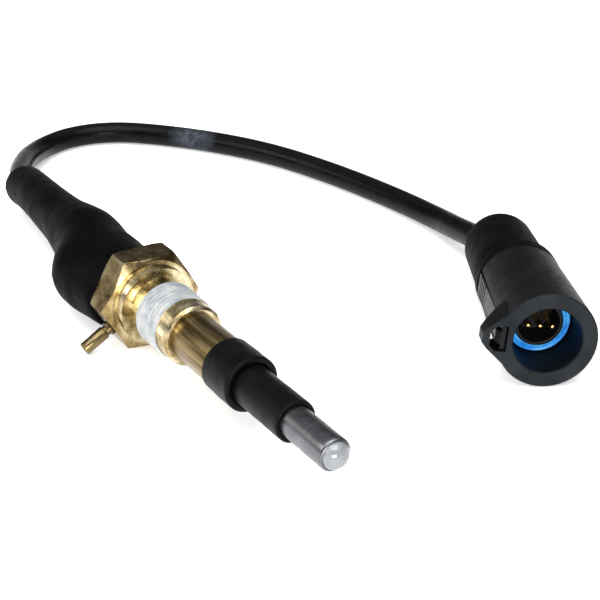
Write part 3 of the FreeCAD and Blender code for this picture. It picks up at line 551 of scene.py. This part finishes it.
def turned_rings(profile, around, place=PROBE, shape=None):
    """A ring of points in metres for each (x, radius) in millimetres, about a place's X axis.

    shape(x, radius, angle) may return a changed radius for each point."""
    rings = []
    for x, radius in profile:
        ring = []
        for index in range(around):
            angle = 2 * math.pi * index / around
            r = shape(x, radius, angle) if shape else radius
            ring.append(place @ (Vector((x, r * math.cos(angle), r * math.sin(angle))) * MM))
        rings.append(ring)
    return rings


def lathe(name, profile, slot, around, place=PROBE, shape=None):
    """Turns a closed outline into a piece."""
    return add_mesh(name, turned_rings(profile, around, place, shape), slot, closed=True)


def soft_noise(x, angle, radius, scale, seed):
    """A smooth value from -1 to 1 on a turned surface."""
    place = Vector((x, radius * math.cos(angle), radius * math.sin(angle))) * scale
    return noise.noise(place + Vector((seed, 0.0, 0.0)))


def paint(node, finish):
    """Gives a piece that the frame supplies one finish."""
    node.data.materials.clear()
    node.data.materials.append(finish)


def eased_edges(node, width, flat_faces):
    """Small rounded edges, in millimetres, on a piece that the frame supplies."""
    weld = node.modifiers.new("weld", "WELD")
    weld.merge_threshold = 0.002 * MM
    bevel = node.modifiers.new("eased_edges", "BEVEL")
    bevel.width = width * MM
    bevel.segments = 3
    bevel.limit_method = "ANGLE"
    bevel.angle_limit = math.radians(32)
    bevel.harden_normals = True
    bevel.use_clamp_overlap = True
    if flat_faces:
        node.modifiers.new("flat_faces", "WEIGHTED_NORMAL").keep_sharp = True


# ---------------------------------------------------------------- probe pieces

def make_tape():
    """Sealing tape wound over the thread: overlapping turns and creases."""
    turn_step, crest_step = 2.6, 1.34
    back, front, bore, skin = 7.2, 17.2, 8.02, 8.15
    fade = 0.8

    def wound(x, radius, angle):
        if radius < skin:
            return radius
        phase = (x / turn_step + angle / (2 * math.pi)) % 1.0
        overlap = 0.11 * smooth_blend(0.0, 0.12, phase) * (1.0 - 0.6 * phase)
        crest = 0.055 * math.cos(2 * math.pi * (x / crest_step + angle / (2 * math.pi)))
        crease = 0.07 * soft_noise(x * 2.2, angle, radius, 0.55, 11.0)
        edge = smooth_blend(back, back + fade, x) * smooth_blend(front, front - fade, x)
        return radius - 0.05 + edge * (overlap + crest + crease)

    outline = rounded([(back, bore), (back, 8.50), (front, 8.22), (front, bore)], 0.12)
    piece = lathe("tape_winding", divided(outline, 0.18), "seal_tape", around=180,
                  shape=wound)
    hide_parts("thread_seal_tape")


def make_sleeves():
    """Shrunk sleeves: slightly uneven walls with drawn-in, rounded ends."""
    def uneven(seed, amount):
        def shape(x, radius, angle):
            return radius + amount * soft_noise(x, angle, radius, 0.33, seed)
        return shape

    outer = rounded([(38.4, 6.34), (38.4, 6.95), (49.9, 7.0), (49.9, 5.30), (42.0, 5.32),
                     (42.0, 6.34)], 0.9, 6)
    piece = lathe("outer_sleeve_skin", divided(outer, 0.5), "sleeve_black", around=120,
                  shape=uneven(3.0, 0.10))
    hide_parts("outer_sleeve")
    inner = rounded([(42.1, 4.04), (42.1, 5.15), (68.9, 5.15), (68.9, 4.04)], 0.6, 6)
    piece = lathe("inner_sleeve_skin", divided(inner, 0.5), "sleeve_black", around=120,
                  shape=uneven(8.0, 0.09))
    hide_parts("inner_sleeve")


def make_sight_tube():
    """Stainless tube with a rolled rim that holds the domed window."""
    rear, bore, outside = -21.0, 3.3, 4.0
    rim = [(rear, bore), (rear, outside), (83.9, outside), (84.45, 3.93), (84.78, 3.72),
           (84.9, 3.50), (84.82, 3.36), (84.4, bore)]
    piece = lathe("sight_tube", divided(rim, 1.5), "stainless", around=128)
    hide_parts("sheath_tube")
    curve, front, edge, steps = 3.6, 87.3, 3.26, 18
    dome = [(81.2, 0.0), (81.2, 2.95), (81.45, edge)]
    widest = math.asin(edge / curve)
    for step in range(steps + 1):
        turn = widest * (1 - step / steps)
        dome.append((front - curve + curve * math.cos(turn), curve * math.sin(turn)))
    piece = add_mesh("window_dome", turned_rings(dome, 96), "window_glass", sharp=50.0)
    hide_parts("lens")


# The boot runs straight this far behind the hexagon's front, then bends to the lead's start.
BOOT_BEND = 45.0
BOOT_TAIL = Vector(LEAD_ROUTE[0])


def boot_centre(distance):
    """Centre and two cross directions of the boot, this far behind the hexagon's front."""
    side = Vector((0.0, BOOT_TAIL.y, BOOT_TAIL.z))
    run = -BOOT_TAIL.x - BOOT_BEND
    radius = (run ** 2 + side.length_squared) / (2 * side.length)
    side.normalize()
    turn = max(0.0, distance - BOOT_BEND) / radius
    if turn > 0.0:
        centre = (Vector((-BOOT_BEND - radius * math.sin(turn), 0, 0))
                  + side * radius * (1 - math.cos(turn)))
    else:
        centre = Vector((-distance, 0, 0))
    along = Vector((-math.cos(turn), 0, 0)) + side * math.sin(turn)
    across = Vector((0, 0, 1)).cross(along).normalized()
    return centre, across, along.cross(across)


# Distance behind the hexagon's front, half width, half height, shift in Y, shift in Z.
BOOT_STATIONS = [
    (8.7, 11.4, 9.9, -1.9, -0.4), (9.2, 11.9, 10.3, -1.95, -0.4), (10.4, 12.2, 10.6, -2.0, -0.4),
    (16.0, 12.6, 10.85, -2.3, -0.5), (22.0, 13.0, 11.1, -2.6, -0.7),
    (26.0, 13.0, 11.15, -2.6, -0.7), (29.5, 12.6, 11.0, -2.3, -0.6),
    (32.5, 11.9, 10.7, -1.5, -0.4), (35.5, 11.1, 10.4, -0.5, 0.0),
    (39.0, 10.2, 10.0, 0.4, 0.45), (43.0, 9.4, 9.4, 0.95, 0.85), (48.0, 8.6, 8.6, 1.1, 1.0),
    (54.0, 7.65, 7.65, 1.1, 1.0), (60.0, 7.1, 7.1, 1.1, 0.95), (70.0, 6.6, 6.6, 1.05, 0.9),
    (82.0, 6.25, 6.25, 0.8, 0.7), (90.0, 6.2, 6.2, 0.5, 0.4), (95.0, 6.3, 6.3, 0.1, 0.0),
    (97.0, 6.1, 6.1, 0.0, 0.0), (98.1, 5.5, 5.5, 0.0, 0.0), (98.5, 4.8, 4.8, 0.0, 0.0),
]
# The same five values for the lip round the hexagon.
BOOT_LIP = [(8.9, 9.3, 9.3, 0.0, 0.0), (8.62, 9.9, 9.6, -0.3, 0.0), (8.6, 10.9, 9.75, -1.6, -0.3)]
# Distance and radius of the bore, from the tail's end to the skirt's mouth.
BOOT_BORE = [(98.55, 4.2), (98.3, 3.7), (97.5, 3.55), (70.0, 3.55), (46.0, 3.9), (31.0, 9.3),
             (27.5, 9.85), (22.0, 9.85), (20.0, 9.3)]
BOOT_AROUND = 144


def boot_section(distance):
    """The four values of the table at a distance, on a smooth line through it."""
    table = BOOT_STATIONS
    index = 0
    while index < len(table) - 2 and distance > table[index + 1][0]:
        index += 1
    first, second = table[index], table[index + 1]
    before = table[max(0, index - 1)]
    after = table[min(len(table) - 1, index + 2)]
    run = second[0] - first[0]
    share = min(1.0, max(0.0, (distance - first[0]) / run))
    values = []
    for item in range(1, len(first)):
        slope = (second[item] - first[item]) / run
        slopes = []
        for low, high in ((before, first), (second, after)):
            other = (high[item] - low[item]) / (high[0] - low[0]) if high[0] > low[0] else slope
            slopes.append(0.0 if other * slope <= 0 else 2 * other * slope / (other + slope))
        rise = second[item] - first[item]
        square = 3 * rise - (2 * slopes[0] + slopes[1]) * run
        cube = (slopes[0] + slopes[1]) * run - 2 * rise
        values.append(first[item] + slopes[0] * run * share + square * share ** 2
                      + cube * share ** 3)
    return values


def make_boot():
    """Moulded boot: lopsided skirt, shoulder and bent tail, with its bore."""
    def ring(distance, wide, high, shift, lift, lumps=0.0):
        """One section. With lumps, in millimetres, it is uneven and has the mould's seams."""
        centre, across, up = boot_centre(distance)
        points = []
        for index in range(BOOT_AROUND):
            angle = 2 * math.pi * index / BOOT_AROUND
            swell = lumps * soft_noise(distance, angle, wide, 0.16, 21.0)
            seam = 0.10 * math.exp(-(math.sin(angle) * wide / 0.28) ** 2) if lumps else 0.0
            point = (centre + across * ((wide + swell + seam) * math.cos(angle) - shift)
                     + up * ((high + swell * 0.3) * math.sin(angle) + lift))
            points.append(point * MM)
        return points

    rings = [ring(*station) for station in BOOT_LIP]
    distance = BOOT_STATIONS[0][0]
    last = BOOT_STATIONS[-1][0]
    while distance < last:
        rings.append(ring(distance, *boot_section(distance), lumps=0.12))
        at_an_end = distance < 11 or distance > 93
        distance += 0.3 if at_an_end else 0.9
    rings.append(ring(last, *boot_section(last)))
    rings += [ring(distance, bore, bore, 0.0, 0.0) for distance, bore in BOOT_BORE]
    piece = add_mesh("boot_skin", rings, "boot_rubber", closed=True, sharp=60.0)
    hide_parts("rubber_boot")


# ---------------------------------------------------------------- connector pieces

def make_seal():
    """Blue ring seal with two rounded lips and a face groove."""
    front, back, bore, outside, valley = -11.3, -17.5, 6.17, 8.43, 7.9
    profile = rounded([
        (back, bore), (back, outside - 0.2), (-16.9, outside), (-15.9, outside),
        (-15.4, valley), (-14.3, valley), (-13.8, outside), (-12.7, outside),
        (front - 0.1, outside - 0.5), (front, 7.75), (front - 0.35, 7.35), (front, 6.95),
        (front, bore + 0.15), (front - 0.4, bore)], 0.22, 4)
    piece = lathe("seal_ring", profile, "seal_blue", around=128, place=CONNECTOR)
    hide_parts("interface_seal")
    return piece


def make_contacts():
    """Turned pins with a rounded tip, side by side."""
    pitch = 3.05
    pieces = []
    corners = [(-24.0, 0.0), (-24.0, 0.75), (-9.5, 0.75), (-9.1, 0.70), (-8.8, 0.55),
               (-8.65, 0.35), (-8.6, 0.0)]
    skin = [point for point in divided(corners, 1.0) if point[1] > 0.0]
    outline = [corners[0], *skin, corners[-1]]
    for index in range(3):
        place = CONNECTOR @ Matrix.Translation(Vector((0, pitch * (index - 1), 0)) * MM)
        pin = add_mesh(f"gold_pin_{index + 1}", turned_rings(outline, 40, place),
                       "contact_gold")
        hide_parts(f"contact_pin_{index + 1}")
        pieces.append(pin)
    return pieces


# The cover, in millimetres behind the connector's mating face: its front, the step behind its
# collar and the middle of its round end. Behind the step it leans a little to the latch side.
SHELL_FRONT, SHELL_STEP, SHELL_BALL = 34.1, 38.2, 58.8
SHELL_LEAN = 0.5
COLLAR_RADIUS, BARREL_RADIUS, BALL_RADIUS = 11.2, 10.25, 9.65
SHELL_AROUND = 128
# The way of the lead where it leaves the cover, in the connector's own frame.
LEAD_WAY = Vector((-0.937, -0.311, -0.159)).normalized()


def shell_section(distance):
    """Radius of the cover and how far it leans to the latch side, at a distance."""
    front = COLLAR_RADIUS - 0.012 * (distance - SHELL_FRONT)
    rear = (BARREL_RADIUS + (BALL_RADIUS - BARREL_RADIUS) * (distance - SHELL_STEP)
            / (SHELL_BALL - SHELL_STEP))
    share = smooth_blend(SHELL_STEP - 0.5, SHELL_STEP + 1.1, distance)
    lean = SHELL_LEAN * smooth_blend(SHELL_STEP - 1.0, SHELL_STEP + 5.0, distance)
    radius = front + (rear - front) * share
    # A shallow groove behind the step.
    radius -= 0.14 * math.exp(-((distance - SHELL_STEP - 1.5) / 0.5) ** 2)
    return radius, lean


def make_backshell():
    """Rubber cover with a collar that ends in a step, and a round end round the lead."""
    ball = Vector((-SHELL_BALL, -SHELL_LEAN, 0))
    through = Vector((-SHELL_BALL, 0, 0))
    turns = [2 * math.pi * index / SHELL_AROUND for index in range(SHELL_AROUND)]
    rings = []

    def turned(distance, radius, lean=0.0):
        """A ring about the connector's own axis."""
        return [CONNECTOR @ (Vector((-distance, radius * math.cos(turn) - lean,
                                     radius * math.sin(turn))) * MM)
                for turn in turns]

    def tilted(middle, way, radius):
        """A ring about another way through its middle."""
        across = (Vector((0, 1, 0)) - way * way.y).normalized()
        up = way.cross(across)
        return [CONNECTOR @ ((middle + (across * math.cos(turn) - up * math.sin(turn))
                              * radius) * MM)
                for turn in turns]

    # The inner wall and the rounded front edge.
    for distance, radius in ((38.4, 8.34), (36.0, 8.34), (34.2, 8.34), (34.12, 9.2)):
        rings.append(turned(distance, radius))
    for distance, drop in ((34.12, 0.28), (34.2, 0.12), (34.4, 0.03)):
        rings.append(turned(distance, shell_section(distance)[0] - drop))
    # The outside, with closer rings round the step.
    distance = 34.7
    while distance < SHELL_BALL:
        rings.append(turned(distance, *shell_section(distance)))
        distance += 0.2 if SHELL_STEP - 1.2 < distance < SHELL_STEP + 3 else 0.6
    # The round end, which turns from straight back to the way of the lead.
    straight_back = Vector((-1, 0, 0))
    lead_angle = math.asin(4.0 / BALL_RADIUS)
    parts = 17
    for part in range(parts):
        share = part / parts
        pole = straight_back.lerp(LEAD_WAY, share).normalized()
        angle = math.pi / 2 + (lead_angle - math.pi / 2) * share
        middle = ball.lerp(through, share ** 2)
        rings.append(tilted(middle + pole * BALL_RADIUS * math.cos(angle), pole,
                            BALL_RADIUS * math.sin(angle)))
    # A short sleeve round the lead, its bore, and the hollow in front of it.
    for out, radius in ((9.0, 4.55), (10.4, 4.45), (12.4, 4.05), (12.9, 3.9), (13.05, 3.70),
                        (13.0, 3.56), (12.0, 3.53), (2.0, 3.53)):
        rings.append(tilted(through + LEAD_WAY * out, LEAD_WAY, radius))
    for distance, bore in ((54.0, 5.6), (38.6, 5.6)):
        rings.append(turned(distance, bore))
    piece = add_mesh("backshell_skin", rings, "boot_rubber", closed=True, sharp=50.0)
    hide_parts("backshell")
    return piece


# ---------------------------------------------------------------- stage

FLOOR_REACH = 12.0
FLOOR_GAP = 0.05 * MM
# How far a direction points up, from 0 for level to 1 for straight up, and the sky's level.
SKY_LEVELS = ((0.0, 0.82), (0.10, 0.70), (0.24, 0.08), (0.45, 0.06), (0.72, 0.46), (1.0, 0.90))
WARM = (1.0, 0.985, 0.96)


def add_light(name, place, target, width, height, power, tint=(1.0, 1.0, 1.0)):
    """A soft oblong light that faces its target: sizes in metres, power in watts."""
    light = bpy.data.lights.new(name, "AREA")
    light.shape = "RECTANGLE"
    light.size = width
    light.size_y = height
    light.energy = power
    light.color = tint
    item = bpy.data.objects.new(name, light)
    bpy.context.scene.collection.objects.link(item)
    item.location = place
    way = Vector(target) - Vector(place)
    item.rotation_euler = way.to_track_quat("-Z", "Y").to_euler()


def add_floor():
    """A pale sheet just under the part, as wide as the view can reach."""
    mesh = bpy.data.meshes.new("floor")
    corners = [(-FLOOR_REACH, -FLOOR_REACH), (FLOOR_REACH, -FLOOR_REACH),
               (FLOOR_REACH, FLOOR_REACH), (-FLOOR_REACH, FLOOR_REACH)]
    mesh.from_pydata([(x, y, FLOOR - FLOOR_GAP) for x, y in corners], [], [(0, 1, 2, 3)])
    floor = bpy.data.objects.new("floor", mesh)
    bpy.context.scene.collection.objects.link(floor)
    f = Finish("floor_paper", {"Specular IOR Level": 0.1})
    f.colour(f.ramp(f.noise(6.0, 2.0), [(0.3, (0.93, 0.93, 0.93)), (0.7, (0.95, 0.95, 0.95))]))
    f.gloss(f.noise(40.0, 2.0), 0.8, 0.9)
    f.shader.inputs["Emission Color"].default_value = (1.0, 1.0, 1.0, 1.0)
    f.shader.inputs["Emission Strength"].default_value = 0.45
    floor.data.materials.append(f.material)


def add_sky():
    """A studio round the part: bright at the horizon and overhead, dim between."""
    world = bpy.data.worlds.new("studio")
    bpy.context.scene.world = world
    world.use_nodes = True
    tree = world.node_tree
    sky = tree.nodes["Background"]
    way = tree.nodes.new("ShaderNodeTexCoord")
    parts = tree.nodes.new("ShaderNodeSeparateXYZ")
    ramp = tree.nodes.new("ShaderNodeValToRGB")
    tree.links.new(way.outputs["Generated"], parts.inputs["Vector"])
    tree.links.new(parts.outputs["Z"], ramp.inputs["Fac"])
    tree.links.new(ramp.outputs["Color"], sky.inputs["Color"])
    entries = ramp.color_ramp.elements
    while len(entries) < len(SKY_LEVELS):
        entries.new(0.5)
    for entry, (place, level) in zip(entries, SKY_LEVELS):
        entry.position = place
        entry.color = (0.97 * level, 0.985 * level, level, 1.0)
    sky.inputs["Strength"].default_value = 1.0


def add_lights():
    """A soft light overhead and two small ones, by the camera and at the side."""
    centre = (-0.02, 0.04, 0.0)
    add_light("top", (0.28, -0.12, 1.1), centre, 1.2, 1.1, 16.0)
    add_light("front", (0.78, -0.31, 0.17), (0.06, 0.06, 0.0), 0.42, 0.26, 5.5, WARM)
    add_light("side", (-0.30, -0.65, 0.45), centre, 0.5, 0.3, 2.6, WARM)


# ---------------------------------------------------------------- build

# Visible pieces that stay as the frame has them: the width of their rounded edges in millimetres,
# and whether their faces are kept flat.
EASED = (("hex_body", 0.22, False), ("purge_nipple", 0.12, False), ("shank_tube", 0.15, False),
         ("latch_arm", 0.25, True), ("connector_housing", 0.35, True), ("pin_insert", 0.2, True))

add_camera()
FINISHES = make_finishes()
lead_line = route_line()
lead = add_lead(lead_line)
for entry in frame["record"]["subparts"]:
    paint(NODES[entry["node"]], FINISHES[entry["material_slot"]])
paint(NODES["shank_tube"], shank_finish())
paint(NODES["purge_nipple"], brass_finish("brass_spigot", 0.48, (0.66, 0.80)))
for name, width, flat_faces in EASED:
    eased_edges(NODES[name], width, flat_faces)

make_tape()
make_sleeves()
make_sight_tube()
make_boot()
on_lead = [make_seal(), *make_contacts(), make_backshell()]
on_lead += [NODES[name] for name in ("connector_housing", "latch_arm", "pin_insert",
                                     "wire_grommet", "tail_wires", "lead_in_backshell")]
add_floor()
add_sky()
add_lights()
bpy.context.scene.view_settings.view_transform = "Standard"
